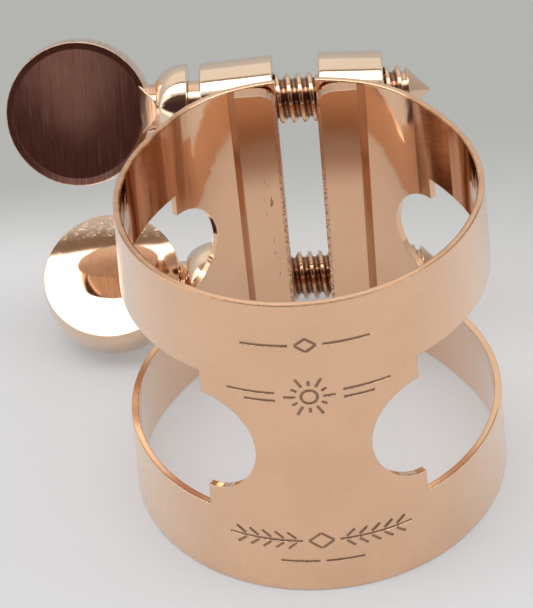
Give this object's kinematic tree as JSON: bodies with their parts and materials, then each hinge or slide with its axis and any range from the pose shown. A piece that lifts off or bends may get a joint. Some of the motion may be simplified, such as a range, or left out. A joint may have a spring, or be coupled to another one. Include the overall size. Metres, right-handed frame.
{
  "type": "saxophone mouthpiece ligature",
  "caption": "Tapered open metal hoop with side windows that clamps a reed to a saxophone mouthpiece, closed by a pair of thumb screws across the gap at its back.",
  "frame": {"origin": "centre of the lower, larger rim's plane, on the axis of the bore", "axes": "+Z along the bore towards the mouthpiece's tip, -Y to the plain front of the band, +Y to the gap, rails and screws, -X to the thumb heads"},
  "size_m": [0.0328, 0.033, 0.0244],
  "materials": {
    "band_plate": "satin rose-gold plate over brass sheet",
    "rail_plate": "rose-gold plate, lightly rubbed by the reed",
    "post_plate": "polished pale rose-gold plate",
    "screw_plate": "polished rose-gold plate on a cut thread",
    "paddle_plate": "mirror-polished rose-gold plate"
  },
  "bodies": {
    "clamp_frame": {"band": "band_plate", "left_rail": "rail_plate", "right_rail": "rail_plate", "upper_left_post": "post_plate", "upper_right_post": "post_plate", "lower_left_post": "post_plate", "lower_right_post": "post_plate"},
    "upper_collar": {"upper_collar": "screw_plate"},
    "upper_screw": {"upper_stem": "screw_plate", "upper_paddle": "paddle_plate"},
    "lower_collar": {"lower_collar": "screw_plate"},
    "lower_screw": {"lower_stem": "screw_plate", "lower_paddle": "paddle_plate"}
  },
  "joints": [
    {"name": "upper_screw_advance", "type": "slide", "parent": "clamp_frame", "child": "upper_collar", "axis": [1, 0, 0], "range_m": [-0.00555, 0.00086]},
    {"name": "upper_screw_turn", "type": "hinge", "parent": "upper_collar", "child": "upper_screw", "pos_m": [0, 0.01469, 0.0197], "axis": [1, 0, 0], "range_deg": [-2665, 415]},
    {"name": "lower_screw_advance", "type": "slide", "parent": "clamp_frame", "child": "lower_collar", "axis": [1, 0, 0], "range_m": [-0.00592, 0.00038]},
    {"name": "lower_screw_turn", "type": "hinge", "parent": "lower_collar", "child": "lower_screw", "pos_m": [0, 0.01545, 0.0035], "axis": [1, 0, 0], "range_deg": [-2845, 181]}
  ],
  "couplings": [
    {"joint": "upper_screw_turn", "follows": "upper_screw_advance", "rad_per_m": 8377.6},
    {"joint": "lower_screw_turn", "follows": "lower_screw_advance", "rad_per_m": 8377.6}
  ]
}
